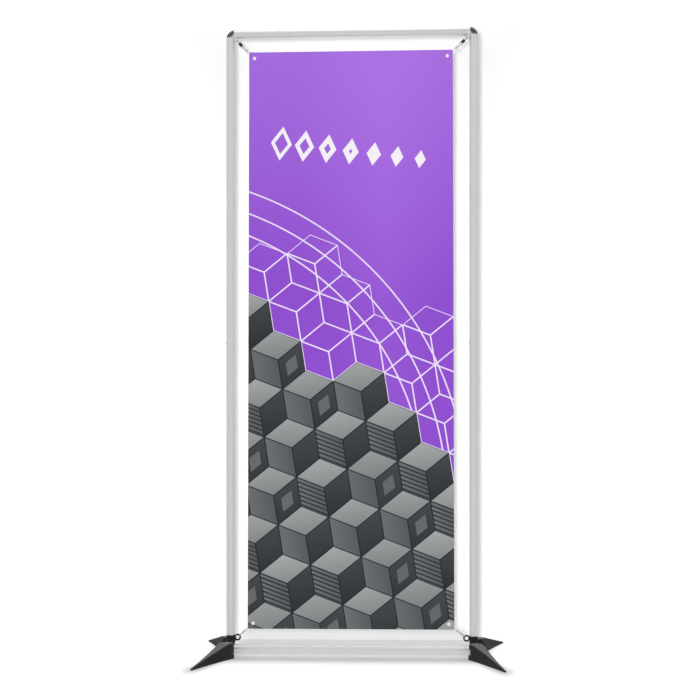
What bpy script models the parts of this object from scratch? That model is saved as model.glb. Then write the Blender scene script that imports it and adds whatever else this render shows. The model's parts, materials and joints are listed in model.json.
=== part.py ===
"""Free-standing banner display frame with swing-out feet.

Four aluminium tubes and four moulded corner pieces make an upright rectangle. A banner
with a grommet in each corner is stretched inside it by springs. Metres, +Z up, front
towards -Y, origin on the floor under the middle of the frame.
"""

import math

import bmesh
import bpy
from mathutils import Vector

# General fits
FIT = 0.0003
ROUND_SIDES = 32

# Tubes and the rectangle that they make
TUBE_DIAMETER = 0.025
TUBE_WALL = 0.0012
POST_SPACING = 0.709
BOTTOM_RAIL_HEIGHT = 0.0195
TOP_RAIL_HEIGHT = 1.8145

# Sleeve and snap button where the two lengths of an upright meet
SEAM_HEIGHT = 0.892
JOINER_LENGTH = 0.100
JOINER_WALL = 0.0020
BUTTON_ABOVE_SEAM = 0.020
BUTTON_RADIUS = 0.0030
BUTTON_PROUD = 0.0022
BUTTON_FLANGE_RADIUS = 0.0045
BUTTON_FLANGE_THICKNESS = 0.0008
LEAF_THICKNESS = 0.0005
LEAF_WIDTH = 0.006
LEAF_RISE = 0.022
LEAF_DROP = 0.005

# Corner pieces
SPIGOT_LENGTH = 0.045
SPIGOT_RIBS = 8
SPIGOT_CORE_RADIUS = 0.0080
EYE_HALF_THICKNESS = 0.002
TOP_INNER_BEND = 0.001
TOP_ARM_DOWN = 0.0107
TOP_ARM_ACROSS = 0.0114
TOP_EYE_RADIUS = 0.0048
TOP_EYE_RIM = 0.0032
TOP_EYE_INWARD = 0.0035
TOP_EYE_DOWN = 0.0030
RING_RADIUS = 0.0055
RING_RIM = 0.0045
RING_INWARD = 0.0080
RING_ABOVE_RAIL = 0.0100
RAIL_UNDER_POST = 0.0020

# Foot hinges on the lower corner pieces
FRONT_PIVOT_OUTWARD = 0.0025
REAR_PIVOT_OUTWARD = 0.0140
PIVOT_DISTANCE = 0.066
HUB_RADIUS = 0.022
LUG_BOTTOM = 0.013
LUG_TOP = 0.029
LUG_EYE_RADIUS = 0.015
LUG_ARM_WIDTH = 0.018

# Feet
FOOT_REACH = 0.226
FOOT_HEIGHT = 0.044
FOOT_TIP_HEIGHT = 0.005
FOOT_TIP_HALF_WIDTH = 0.003
FOOT_TAPER_POWER = 1.5
FOOT_DRAFT = 0.06
FOOT_CHAMFER = 0.0015
FOOT_WALL = 0.0030
FOOT_RIB = 0.0025
FOOT_POCKETS = 4
FOOT_POCKET_END = 0.140
SLOT_WEB = 0.0055
FRONT_FOOT_TURN = math.radians(16.6)
REAR_FOOT_TURN = math.radians(24.0)

# Pivot bolt, nut and washer
BOLT_RADIUS = 0.003
BOLT_HEAD_RADIUS = 0.0060
BOLT_HEAD_HEIGHT = 0.0035
BOLT_END_HEIGHT = 0.0020
NUT_ACROSS_FLATS = 0.010
NUT_THICKNESS = 0.005
WASHER_RADIUS = 0.010
WASHER_THICKNESS = 0.001

# Banner and its grommets
BANNER_ASIDE = 0.003
BANNER_SIDE_GAP = 0.045
BANNER_FLARE = 0.0045
BANNER_BOTTOM_GAP = 0.0445
BANNER_TOP_GAP = 0.040
BANNER_THICKNESS = 0.0008
GROMMET_INSET_X = 0.0158
GROMMET_INSET_TOP = 0.018
GROMMET_INSET_BOTTOM = 0.016
GROMMET_HOLE_RADIUS = 0.0025
GROMMET_WALL = 0.0005
GROMMET_FLANGE_RADIUS = 0.0052
GROMMET_FLANGE_THICKNESS = 0.0006

# Hooks and springs between the eyelets and the grommets
HOOK_WIRE_RADIUS = 0.0015
HOOK_TIP = 0.004
HOOK_SWEEP = 0.0060
HOOK_WINDING = 0.0100
HOOK_WINDING_RADIUS = 0.0051
HOOK_LOOP_RADIUS = 0.004
SPRING_WIRE_RADIUS = 0.0007
SPRING_PITCH = 0.0019
SPRING_POINTS_PER_TURN = 10
SPRING_TIP = 0.004
SPRING_TO_BANNER = 0.0045

# Sizes worked out from those above
TUBE_RADIUS = TUBE_DIAMETER / 2
BORE_RADIUS = TUBE_RADIUS - TUBE_WALL
POST_X = POST_SPACING / 2
POST_INNER_X = POST_X - TUBE_RADIUS
TOP_RAIL_END = POST_INNER_X - TOP_ARM_ACROSS
BOTTOM_RAIL_END = POST_INNER_X + RAIL_UNDER_POST
POST_TOP = TOP_RAIL_HEIGHT - TUBE_RADIUS - TOP_ARM_DOWN
TOP_EYE_X = POST_INNER_X - TOP_EYE_INWARD
TOP_EYE_Z = TOP_RAIL_HEIGHT - TUBE_RADIUS - TOP_EYE_DOWN
RING_OUTER_RADIUS = RING_RADIUS + RING_RIM
RING_X = POST_INNER_X - RING_INWARD
RING_Z = BOTTOM_RAIL_HEIGHT + TUBE_RADIUS + RING_ABOVE_RAIL + RING_OUTER_RADIUS
POST_BOTTOM = RING_Z + math.sqrt(max(RING_OUTER_RADIUS ** 2 - RING_INWARD ** 2, 0)) + FIT
SLOT_RADIUS = math.hypot(LUG_ARM_WIDTH / 2 + FIT, HUB_RADIUS)
BANNER_TOP = TOP_RAIL_HEIGHT - TUBE_RADIUS - BANNER_TOP_GAP
BANNER_BOTTOM = BOTTOM_RAIL_HEIGHT + TUBE_RADIUS + BANNER_BOTTOM_GAP
BANNER_TOP_HALF = POST_INNER_X - BANNER_SIDE_GAP
BANNER_BOTTOM_HALF = BANNER_TOP_HALF + BANNER_FLARE
BUTTON_HEIGHT = SEAM_HEIGHT + BUTTON_ABOVE_SEAM
HOOK_WINDING_START = TOP_EYE_RADIUS + TOP_EYE_RIM + FIT + HOOK_SWEEP
HOOK_LOOP_CENTRE = HOOK_WINDING_START + HOOK_WINDING + HOOK_LOOP_RADIUS

# Finishes: colour, roughness, metallic
ALUMINIUM = ((0.62, 0.63, 0.64), 0.35, 1.0)
SILVER_PLASTIC = ((0.50, 0.50, 0.51), 0.30, 0.0)
GREY_PLASTIC = ((0.10, 0.10, 0.105), 0.45, 0.0)
BLACK_PLASTIC = ((0.02, 0.021, 0.023), 0.50, 0.0)
BRONZED_STEEL = ((0.07, 0.055, 0.045), 0.40, 1.0)
SPRING_STEEL = ((0.50, 0.50, 0.50), 0.30, 1.0)
ZINC_STEEL = ((0.55, 0.55, 0.56), 0.35, 1.0)
NYLON = ((0.75, 0.74, 0.70), 0.50, 0.0)
NICKEL = ((0.70, 0.69, 0.66), 0.25, 1.0)
PRINTED_VINYL = ((0.36, 0.17, 0.68), 0.45, 0.0)


def finish(piece, look):
    """Give a piece its own plain material."""
    colour, roughness, metallic = look
    material = bpy.data.materials.new(piece.name + "_finish")
    material.use_nodes = True
    shader = material.node_tree.nodes["Principled BSDF"]
    shader.inputs["Base Color"].default_value = (*colour, 1.0)
    shader.inputs["Roughness"].default_value = roughness
    shader.inputs["Metallic"].default_value = metallic
    piece.data.materials.clear()
    piece.data.materials.append(material)


def add_object(name, mesh, location=(0, 0, 0), rotation=(0, 0, 0)):
    """Link a mesh into the scene as a named piece."""
    piece = bpy.data.objects.new(name, mesh)
    piece.location = location
    piece.rotation_euler = rotation
    bpy.context.scene.collection.objects.link(piece)
    return piece


def loft(rings, closed=False):
    """Skin a row of equal rings. A closed row joins its last ring to its first."""
    mesh = bpy.data.meshes.new("loft")
    bm = bmesh.new()
    rows = [[bm.verts.new(point) for point in ring] for ring in rings]
    count = len(rows[0])
    pairs = list(zip(rows, rows[1:]))
    if closed:
        pairs.append((rows[-1], rows[0]))
    for first, second in pairs:
        for i in range(count):
            j = (i + 1) % count
            bm.faces.new((first[i], first[j], second[j], second[i]))
    if not closed:
        bm.faces.new(rows[0])
        bm.faces.new(rows[-1])
    bmesh.ops.recalc_face_normals(bm, faces=bm.faces)
    bm.to_mesh(mesh)
    bm.free()
    return mesh


def circle(radius, sides=ROUND_SIDES, start=0.0):
    """Points of a circle round the origin, as pairs."""
    angles = [start + 2 * math.pi * i / sides for i in range(sides)]
    return [(radius * math.cos(a), radius * math.sin(a)) for a in angles]


def upright_prism(outline, low, high):
    """Solid of an outline in X and Y between two heights."""
    return loft([[(x, y, z) for x, y in outline] for z in (low, high)])


def facing_prism(outline, near, far):
    """Solid of an outline in X and Z between two depths."""
    return loft([[(x, y, z) for x, z in outline] for y in (near, far)])


def across_prism(outline, low, high):
    """Solid of an outline in Y and Z between two places along X."""
    return loft([[(x, y, z) for y, z in outline] for x in (low, high)])


def box(low, high):
    """Block between two corners."""
    corners = [(low[0], low[1]), (high[0], low[1]), (high[0], high[1]), (low[0], high[1])]
    return upright_prism(corners, low[2], high[2])


def turned(profile, sides=ROUND_SIDES, closed=False):
    """Revolve pairs of radius and height about Z. A closed profile gives a ring."""
    rings = []
    for radius, height in profile:
        rings.append([(x, y, height) for x, y in circle(radius, sides)])
    return loft(rings, closed)


def shift(outline, dx, dy):
    """Move an outline."""
    return [(x + dx, y + dy) for x, y in outline]


def bar(x, y, width):
    """Outline of a straight bar from the origin to a point."""
    length = math.hypot(x, y)
    dx = -y / length * width / 2
    dy = x / length * width / 2
    return [(dx, dy), (-dx, -dy), (x - dx, y - dy), (x + dx, y + dy)]


def wire(path, radius, sides):
    """Round wire along a path, with flat ends."""
    last = len(path) - 1
    side = Vector((0.13, 0.27, 0.95))
    rings = []
    for i, point in enumerate(path):
        tangent = (path[min(i + 1, last)] - path[max(i - 1, 0)]).normalized()
        side = (side - tangent * side.dot(tangent)).normalized()
        other = tangent.cross(side)
        rings.append([point + side * a + other * b for a, b in circle(radius, sides)])
    return loft(rings)


def combine(piece, mesh, operation):
    """Cut a shape out of a piece, or join it on, in the piece's own frame."""
    tool = add_object("tool", mesh)
    tool.matrix_world = piece.matrix_world
    step = piece.modifiers.new("step", "BOOLEAN")
    step.operation = operation
    step.solver = "EXACT"
    step.object = tool
    tool.parent = piece.parent
    bpy.context.view_layer.update()
    tool.matrix_world = piece.matrix_world
    bpy.context.view_layer.update()
    evaluated = piece.evaluated_get(bpy.context.evaluated_depsgraph_get())
    result = bpy.data.meshes.new_from_object(evaluated)
    piece.modifiers.clear()
    piece.data = result
    bpy.data.objects.remove(tool, do_unlink=True)


def cut(piece, *meshes):
    for mesh in meshes:
        combine(piece, mesh, "DIFFERENCE")


def join(piece, *meshes):
    for mesh in meshes:
        combine(piece, mesh, "UNION")


def smooth(piece, degrees=35):
    """Shade round surfaces smooth and keep real edges sharp."""
    piece.data.shade_smooth()
    piece.data.set_sharp_from_angle(angle=math.radians(degrees))


def tube_mesh(length, outer, inner):
    """Hollow tube along +Z from the origin."""
    profile = [(outer, 0), (outer, length), (inner, length), (inner, 0)]
    return turned(profile, closed=True)


def spigot_outline():
    """Cross-section of a moulded plug: a round core with ribs that fill the tube."""
    rib_radius = BORE_RADIUS - FIT
    step = 2 * math.pi / SPIGOT_RIBS
    points = []
    for i in range(SPIGOT_RIBS):
        places = ((0.30, SPIGOT_CORE_RADIUS), (0.34, rib_radius), (0.50, rib_radius), (0.66, rib_radius),
                  (0.70, SPIGOT_CORE_RADIUS), (1.00, SPIGOT_CORE_RADIUS))
        for share, radius in places:
            angle = step * (i + share)
            points.append((radius * math.cos(angle), radius * math.sin(angle)))
    return points


def make_tubes():
    """The four sides of the frame; each upright is in two lengths."""
    top_length = 2 * (TOP_RAIL_END - FIT)
    top = add_object("top_rail", tube_mesh(top_length, TUBE_RADIUS, BORE_RADIUS),
                     (-top_length / 2, 0, TOP_RAIL_HEIGHT), (0, math.pi / 2, 0))
    bottom_length = 2 * (BOTTOM_RAIL_END - FIT)
    bottom = add_object("bottom_rail", tube_mesh(bottom_length, TUBE_RADIUS, BORE_RADIUS),
                        (-bottom_length / 2, 0, BOTTOM_RAIL_HEIGHT), (0, math.pi / 2, 0))
    tubes = [top, bottom]
    for side, x in (("left", -POST_X), ("right", POST_X)):
        low = POST_BOTTOM + FIT
        middle = SEAM_HEIGHT
        high = POST_TOP - FIT
        lower = add_object(side + "_post_lower",
                           tube_mesh(middle - FIT / 2 - low, TUBE_RADIUS, BORE_RADIUS), (x, 0, low))
        start = middle + FIT / 2
        upper = add_object(side + "_post_upper",
                           tube_mesh(high - start, TUBE_RADIUS, BORE_RADIUS), (x, 0, start))
        hole = shift(circle(BUTTON_RADIUS + FIT, 16), 0, BUTTON_HEIGHT - start)
        cut(upper, across_prism(hole, -2 * TUBE_RADIUS, 0))
        tubes += [lower, upper]
    for tube in tubes:
        smooth(tube)
        finish(tube, ALUMINIUM)


def make_joiner(side, x):
    """Sleeve inside an upright, with the snap button and its leaf spring."""
    outer = BORE_RADIUS - FIT
    inner = outer - JOINER_WALL
    bottom = SEAM_HEIGHT - JOINER_LENGTH / 2
    joiner = add_object(side + "_post_joiner", tube_mesh(JOINER_LENGTH, outer, inner), (x, 0, bottom))
    hole = shift(circle(BUTTON_RADIUS + FIT, 16), 0, BUTTON_HEIGHT - bottom)
    cut(joiner, across_prism(hole, -2 * outer, 0))
    smooth(joiner)
    finish(joiner, GREY_PLASTIC)

    flange_face = math.sqrt(inner ** 2 - BUTTON_FLANGE_RADIUS ** 2) - FIT
    flange_back = flange_face - BUTTON_FLANGE_THICKNESS
    nose = TUBE_RADIUS + BUTTON_PROUD
    dome = 0.0008
    profile = [(BUTTON_FLANGE_RADIUS, flange_back), (BUTTON_FLANGE_RADIUS, flange_face),
               (BUTTON_RADIUS, flange_face), (BUTTON_RADIUS, nose - dome),
               (BUTTON_RADIUS - dome / 2, nose - dome / 4), (BUTTON_RADIUS / 2, nose)]
    button = add_object(side + "_snap_button", turned(profile, 16), (x, 0, BUTTON_HEIGHT),
                        (0, -math.pi / 2, 0))
    smooth(button)
    finish(button, ZINC_STEEL)

    near = flange_back - FIT
    far = math.sqrt(inner ** 2 - (LEAF_WIDTH / 2) ** 2) - FIT
    turn = LEAF_THICKNESS * 1.5
    outer_side = [(-near, -LEAF_DROP), (-near, LEAF_DROP), (-turn, LEAF_RISE), (0, LEAF_RISE + turn),
                  (turn, LEAF_RISE), (far, -LEAF_DROP)]
    inner_side = [(far - LEAF_THICKNESS, -LEAF_DROP), (turn / 3, LEAF_RISE - turn),
                  (-turn / 3, LEAF_RISE - turn), (-near + LEAF_THICKNESS, LEAF_DROP),
                  (-near + LEAF_THICKNESS, -LEAF_DROP)]
    leaf = add_object(side + "_button_spring",
                      facing_prism(outer_side + inner_side, -LEAF_WIDTH / 2, LEAF_WIDTH / 2),
                      (x, 0, BUTTON_HEIGHT))
    finish(leaf, SPRING_STEEL)


def make_top_corner(side, sign):
    """Elbow with two spigots and an eyelet in its inner corner."""
    bend_radius = TUBE_RADIUS + TOP_INNER_BEND
    arm_across = TUBE_RADIUS + TOP_ARM_ACROSS
    arm_down = TUBE_RADIUS + TOP_ARM_DOWN
    steps = 10
    section = circle(TUBE_RADIUS)
    rings = [[(-sign * arm_across, y, r) for r, y in section]]
    for i in range(steps + 1):
        angle = math.pi / 2 * (1 - i / steps)
        rings.append([(sign * ((bend_radius + r) * math.cos(angle) - bend_radius), y,
                       (bend_radius + r) * math.sin(angle) - bend_radius) for r, y in section])
    rings.append([(sign * r, y, -arm_down) for r, y in section])
    corner = add_object("corner_top_" + side, loft(rings), (sign * POST_X, 0, TOP_RAIL_HEIGHT))

    eye_x = sign * (TOP_EYE_X - POST_X)
    eye_z = TOP_EYE_Z - TOP_RAIL_HEIGHT
    rim = shift(circle(TOP_EYE_RADIUS + TOP_EYE_RIM), eye_x, eye_z)
    join(corner, facing_prism(rim, -EYE_HALF_THICKNESS, EYE_HALF_THICKNESS))
    hole = shift(circle(TOP_EYE_RADIUS), eye_x, eye_z)
    cut(corner, facing_prism(hole, -TUBE_RADIUS, TUBE_RADIUS))

    plug = spigot_outline()
    root = 0.001
    join(corner, across_prism(plug, -sign * (arm_across - root), -sign * (arm_across + SPIGOT_LENGTH)),
         upright_prism(plug, -arm_down + root, -arm_down - SPIGOT_LENGTH))
    smooth(corner)
    finish(corner, SILVER_PLASTIC)


def make_bottom_corner(side, sign):
    """Column under an upright: arm for the rail, eyelet ring, and the two foot hinges."""
    bottom = -TUBE_RADIUS
    column_top = POST_BOTTOM - BOTTOM_RAIL_HEIGHT
    rail_face = sign * (BOTTOM_RAIL_END - POST_X)
    inward = -sign * TUBE_DIAMETER
    corner = add_object("corner_bottom_" + side, upright_prism(circle(TUBE_RADIUS), bottom, column_top),
                        (sign * POST_X, 0, BOTTOM_RAIL_HEIGHT))
    join(corner, across_prism(circle(TUBE_RADIUS - FIT), 0, inward))
    cut(corner, box((min(2 * inward, rail_face), -TUBE_DIAMETER, bottom - 0.001),
                    (max(2 * inward, rail_face), TUBE_DIAMETER, TUBE_RADIUS + FIT)))

    ring_x = sign * (RING_X - POST_X)
    ring_z = RING_Z - BOTTOM_RAIL_HEIGHT
    rim = shift(circle(RING_OUTER_RADIUS), ring_x, ring_z)
    join(corner, facing_prism(rim, -EYE_HALF_THICKNESS, EYE_HALF_THICKNESS))
    hole = shift(circle(RING_RADIUS), ring_x, ring_z)
    cut(corner, facing_prism(hole, -TUBE_RADIUS, TUBE_RADIUS))

    plug = spigot_outline()
    root = 0.001
    join(corner, across_prism(plug, rail_face + sign * root, rail_face - sign * SPIGOT_LENGTH),
         upright_prism(plug, column_top - root, column_top + SPIGOT_LENGTH))

    low = LUG_BOTTOM - BOTTOM_RAIL_HEIGHT
    high = LUG_TOP - BOTTOM_RAIL_HEIGHT
    for outward, y in ((FRONT_PIVOT_OUTWARD, -PIVOT_DISTANCE), (REAR_PIVOT_OUTWARD, PIVOT_DISTANCE)):
        x = sign * outward
        join(corner, upright_prism(bar(x, y, LUG_ARM_WIDTH), low, high))
        join(corner, upright_prism(shift(circle(LUG_EYE_RADIUS), x, y), low, high))
        cut(corner, upright_prism(shift(circle(BOLT_RADIUS + FIT, 16), x, y), low - 0.001, high + 0.001))
    smooth(corner)
    finish(corner, BLACK_PLASTIC)


def foot_half_width(distance):
    """Half of the foot's width, from the back of its hub to its tip."""
    if distance <= 0:
        return math.sqrt(max(HUB_RADIUS ** 2 - distance ** 2, 0))
    share = 1 - distance / FOOT_REACH
    return FOOT_TIP_HALF_WIDTH + (HUB_RADIUS - FOOT_TIP_HALF_WIDTH) * share ** FOOT_TAPER_POWER


def foot_top(distance):
    """Height of the foot's top: flat over the hub, then falling straight to the tip."""
    if distance <= HUB_RADIUS:
        return FOOT_HEIGHT
    share = (distance - HUB_RADIUS) / (FOOT_REACH - HUB_RADIUS)
    return FOOT_HEIGHT + (FOOT_TIP_HEIGHT - FOOT_HEIGHT) * share


def foot_mesh():
    """Wedge foot along +X from its pivot: hub, hinge slot, bores and ribbed underside."""
    distances = [-HUB_RADIUS * math.cos(math.radians(a)) for a in (12, 25, 38, 51, 64, 77)]
    distances += [0.0, HUB_RADIUS / 2]
    steps = 9
    for i in range(steps + 1):
        distances.append(HUB_RADIUS + (FOOT_REACH - HUB_RADIUS) * i / steps)
    rings = []
    for distance in distances:
        half = foot_half_width(distance)
        top = foot_top(distance)
        upper = half - FOOT_DRAFT * top
        chamfer = min(FOOT_CHAMFER, upper * 0.5)
        section = [(-half, 0), (half, 0), (upper, top - chamfer), (upper - chamfer, top),
                   (chamfer - upper, top), (-upper, top - chamfer)]
        rings.append([(distance, y, z) for y, z in section])
    foot = add_object("foot", loft(rings))

    slot_bottom = LUG_BOTTOM - FIT
    slot_top = LUG_TOP + WASHER_THICKNESS + 2 * FIT
    cut(foot, upright_prism(circle(SLOT_RADIUS), slot_bottom, slot_top))
    cut(foot, upright_prism(circle(BOLT_RADIUS + FIT, 16), -0.001, FOOT_HEIGHT + 0.001))
    head_seat = FOOT_HEIGHT - BOLT_HEAD_HEIGHT - FIT
    cut(foot, upright_prism(circle(BOLT_HEAD_RADIUS + FIT, 24), head_seat, FOOT_HEIGHT + 0.001))
    nut_corner = (NUT_ACROSS_FLATS / 2 + FIT) / math.cos(math.pi / 6)
    cut(foot, upright_prism(circle(nut_corner, 6), -0.001, BOLT_END_HEIGHT + NUT_THICKNESS + FIT))

    start = SLOT_RADIUS + SLOT_WEB
    length = (FOOT_POCKET_END - start + FOOT_RIB) / FOOT_POCKETS
    for i in range(FOOT_POCKETS):
        near = start + i * length
        rings = []
        for distance in (near, near + length - FOOT_RIB):
            half = foot_half_width(distance) - FOOT_WALL - FOOT_DRAFT * FOOT_HEIGHT
            roof = foot_top(distance) - FOOT_WALL
            section = [(-half, -0.001), (half, -0.001), (half, roof), (-half, roof)]
            rings.append([(distance, y, z) for y, z in section])
        cut(foot, loft(rings))
    smooth(foot)
    mesh = foot.data
    bpy.data.objects.remove(foot, do_unlink=True)
    return mesh


def make_foot(mesh, name, pivot, heading):
    """One foot on its pivot, with the bolt, nut and washer that hold it."""
    turn = (0, 0, heading)
    foot = add_object("foot_" + name, mesh.copy(), (*pivot, 0), turn)
    finish(foot, BLACK_PLASTIC)

    head_bottom = FOOT_HEIGHT - BOLT_HEAD_HEIGHT
    profile = [(BOLT_RADIUS - 0.0004, BOLT_END_HEIGHT), (BOLT_RADIUS, BOLT_END_HEIGHT + 0.0004),
               (BOLT_RADIUS, head_bottom), (BOLT_HEAD_RADIUS, head_bottom),
               (BOLT_HEAD_RADIUS, FOOT_HEIGHT - 0.0012), (BOLT_HEAD_RADIUS - 0.0015, FOOT_HEIGHT)]
    bolt = add_object("pivot_bolt_" + name, turned(profile, 16), (*pivot, 0), turn)
    socket = circle(0.002 / math.cos(math.pi / 6), 6)
    cut(bolt, upright_prism(socket, FOOT_HEIGHT - 0.002, FOOT_HEIGHT + 0.001))
    smooth(bolt)
    finish(bolt, ZINC_STEEL)

    corner = NUT_ACROSS_FLATS / 2 / math.cos(math.pi / 6)
    hexagon = circle(corner, 6)
    flats = []
    for (ax, ay), (bx, by) in zip(hexagon, hexagon[1:] + hexagon[:1]):
        flats += [(ax, ay), ((ax + bx) / 2, (ay + by) / 2)]
    bore = circle(BOLT_RADIUS + FIT, 12)
    low = BOLT_END_HEIGHT
    high = BOLT_END_HEIGHT + NUT_THICKNESS
    rings = [[(x, y, z) for x, y in outline] for outline, z in
             ((flats, low), (flats, high), (bore, high), (bore, low))]
    nut = add_object("pivot_nut_" + name, loft(rings, closed=True), (*pivot, 0), turn)
    finish(nut, ZINC_STEEL)

    low = LUG_TOP + FIT
    high = low + WASHER_THICKNESS
    inner = BOLT_RADIUS + FIT
    profile = [(WASHER_RADIUS, low), (WASHER_RADIUS, high), (inner, high), (inner, low)]
    washer = add_object("pivot_washer_" + name, turned(profile, 24, closed=True), (*pivot, 0), turn)
    smooth(washer)
    finish(washer, NYLON)


def make_feet():
    mesh = foot_mesh()
    for side, sign in (("left", -1), ("right", 1)):
        front = math.atan2(-math.cos(FRONT_FOOT_TURN), sign * math.sin(FRONT_FOOT_TURN))
        rear = math.atan2(math.cos(REAR_FOOT_TURN), sign * math.sin(REAR_FOOT_TURN))
        front_x = sign * (POST_X + FRONT_PIVOT_OUTWARD)
        rear_x = sign * (POST_X + REAR_PIVOT_OUTWARD)
        make_foot(mesh, "front_" + side, (front_x, -PIVOT_DISTANCE), front)
        make_foot(mesh, "rear_" + side, (rear_x, PIVOT_DISTANCE), rear)


def banner_corner(row, sign):
    """A corner of the banner, in X and Z."""
    if row == "top":
        return Vector((sign * BANNER_TOP_HALF - BANNER_ASIDE, BANNER_TOP))
    return Vector((sign * BANNER_BOTTOM_HALF - BANNER_ASIDE, BANNER_BOTTOM))


def grommet_centre(row, sign):
    """Centre of a grommet, in X and Z."""
    corner = banner_corner(row, sign)
    if row == "top":
        return corner + Vector((-sign * GROMMET_INSET_X, -GROMMET_INSET_TOP))
    return corner + Vector((-sign * GROMMET_INSET_X, GROMMET_INSET_BOTTOM))


def make_banner():
    """The sheet, with a hole for each grommet."""
    outline = [banner_corner("bottom", -1), banner_corner("bottom", 1),
               banner_corner("top", 1), banner_corner("top", -1)]
    half = BANNER_THICKNESS / 2
    banner = add_object("banner", facing_prism(outline, -half, half))
    hole = circle(GROMMET_HOLE_RADIUS + GROMMET_WALL + FIT, 16)
    for row in ("top", "bottom"):
        for sign in (-1, 1):
            x, z = grommet_centre(row, sign)
            cut(banner, facing_prism(shift(hole, x, z), -0.005, 0.005))
    finish(banner, PRINTED_VINYL)


def make_grommet(name, place):
    """Two-part grommet: a flanged eyelet from the front and a washer behind."""
    face = BANNER_THICKNESS / 2 + FIT
    front = face + GROMMET_FLANGE_THICKNESS
    barrel = GROMMET_HOLE_RADIUS + GROMMET_WALL
    location = (place[0], 0, place[1])
    facing = (math.pi / 2, 0, 0)
    profile = [(GROMMET_HOLE_RADIUS, front - 0.0002), (GROMMET_HOLE_RADIUS + 0.0004, front),
               (GROMMET_FLANGE_RADIUS - 0.0003, front), (GROMMET_FLANGE_RADIUS, face),
               (barrel, face), (barrel, -front), (GROMMET_HOLE_RADIUS, -front)]
    eyelet = add_object("grommet_" + name, turned(profile, 20, closed=True), location, facing)
    smooth(eyelet)
    finish(eyelet, NICKEL)
    inner = barrel + FIT
    profile = [(inner, -face), (GROMMET_FLANGE_RADIUS, -face), (GROMMET_FLANGE_RADIUS - 0.0003, -front),
               (inner, -front)]
    washer = add_object("grommet_washer_" + name, turned(profile, 20, closed=True), location, facing)
    smooth(washer)
    finish(washer, NICKEL)


def half_turn(centre, radius, heading, steps=8):
    """Points of a half circle in X and Y that bulges towards heading along X."""
    points = []
    for i in range(steps + 1):
        angle = math.pi * i / steps
        points.append(Vector((centre + heading * radius * math.sin(angle), -radius * math.cos(angle), 0)))
    return points


def winding(start, length):
    """Wire wound closely round the hook's shank along X, as one screw-shaped solid."""
    pitch = 2 * HOOK_WIRE_RADIUS
    sides = 12
    steps = round(6 * length / pitch)
    rings = []
    for i in range(steps + 1):
        along = length * i / steps
        ring = []
        for j in range(sides):
            angle = 2 * math.pi * j / sides
            groove = abs(math.sin(angle / 2 - math.pi * along / pitch))
            reach = HOOK_WINDING_RADIUS - HOOK_WIRE_RADIUS * (1 - groove)
            ring.append((start + along, reach * math.cos(angle), reach * math.sin(angle)))
        rings.append(ring)
    return loft(rings)


def make_hook(name, eye, turn):
    """Steel hook: an open bend through the eyelet, a wound shank and a closed loop."""
    bend = EYE_HALF_THICKNESS + FIT + HOOK_WIRE_RADIUS
    start = TOP_EYE_RADIUS
    path = [Vector((start + HOOK_TIP, -bend, 0))]
    path += half_turn(start, bend, -1, 10)
    leave = HOOK_WINDING_START - HOOK_SWEEP
    steps = 8
    for i in range(steps + 1):
        share = i / steps
        height = bend * (1 + math.cos(math.pi * share)) / 2
        path.append(Vector((leave + HOOK_SWEEP * share, height, 0)))
    path.append(Vector((HOOK_WINDING_START + HOOK_WINDING / 2, 0, 0)))
    hook = add_object(name, wire(path, HOOK_WIRE_RADIUS, 10), (eye[0], 0, eye[1]), (0, turn, 0))
    join(hook, winding(HOOK_WINDING_START, HOOK_WINDING))

    rings = []
    steps = 20
    for i in range(steps):
        angle = 2 * math.pi * i / steps
        rings.append([(HOOK_LOOP_CENTRE + (HOOK_LOOP_RADIUS + a) * math.cos(angle), b,
                       (HOOK_LOOP_RADIUS + a) * math.sin(angle))
                      for a, b in circle(HOOK_WIRE_RADIUS, 10, 0.2)])
    join(hook, loft(rings, closed=True))
    smooth(hook, 50)
    finish(hook, BRONZED_STEEL)


def make_spring(name, eye, turn, seat, coil_end, grommet):
    """Extension spring. Its places are distances from the eyelet's centre along the pull."""
    bend = EYE_HALF_THICKNESS + FIT + SPRING_WIRE_RADIUS
    grip = GROMMET_HOLE_RADIUS - SPRING_WIRE_RADIUS - FIT
    far = grommet - grip - bend + 0.0002
    coil_start = seat + SPRING_TIP + 3 * SPRING_WIRE_RADIUS
    path = [Vector((seat + SPRING_TIP, -bend, 0))]
    path += half_turn(seat, bend, -1)
    turns = max(round((coil_end - coil_start) / SPRING_PITCH), 1)
    total = turns * SPRING_POINTS_PER_TURN
    for i in range(total + 1):
        angle = 2 * math.pi * i / SPRING_POINTS_PER_TURN
        along = coil_start + (coil_end - coil_start) * i / total
        path.append(Vector((along, bend * math.cos(angle), bend * math.sin(angle))))
    path += list(reversed(half_turn(far, bend, 1)))
    path.append(Vector((far - SPRING_TIP * 0.6, -bend, 0)))
    spring = add_object(name, wire(path, SPRING_WIRE_RADIUS, 6), (eye[0], 0, eye[1]), (0, turn, 0))
    smooth(spring, 70)
    finish(spring, SPRING_STEEL)


def make_tensioner(row, side, sign):
    """Hook, spring and grommet of one corner, on the line from eyelet to grommet."""
    name = row + "_" + side
    grommet = grommet_centre(row, sign)
    if row == "top":
        eye = Vector((sign * TOP_EYE_X, TOP_EYE_Z))
        seat = HOOK_LOOP_CENTRE + HOOK_LOOP_RADIUS
    else:
        eye = Vector((sign * RING_X, RING_Z))
        seat = RING_RADIUS
    pull = grommet - eye
    turn = -math.atan2(pull.y, pull.x)
    edge = (banner_corner(row, sign) - eye).dot(pull.normalized())
    if row == "top":
        make_hook("tension_hook_" + name, eye, turn)
    make_spring("tension_spring_" + name, eye, turn, seat, edge - SPRING_TO_BANNER, pull.length)
    make_grommet(name, grommet)


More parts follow.
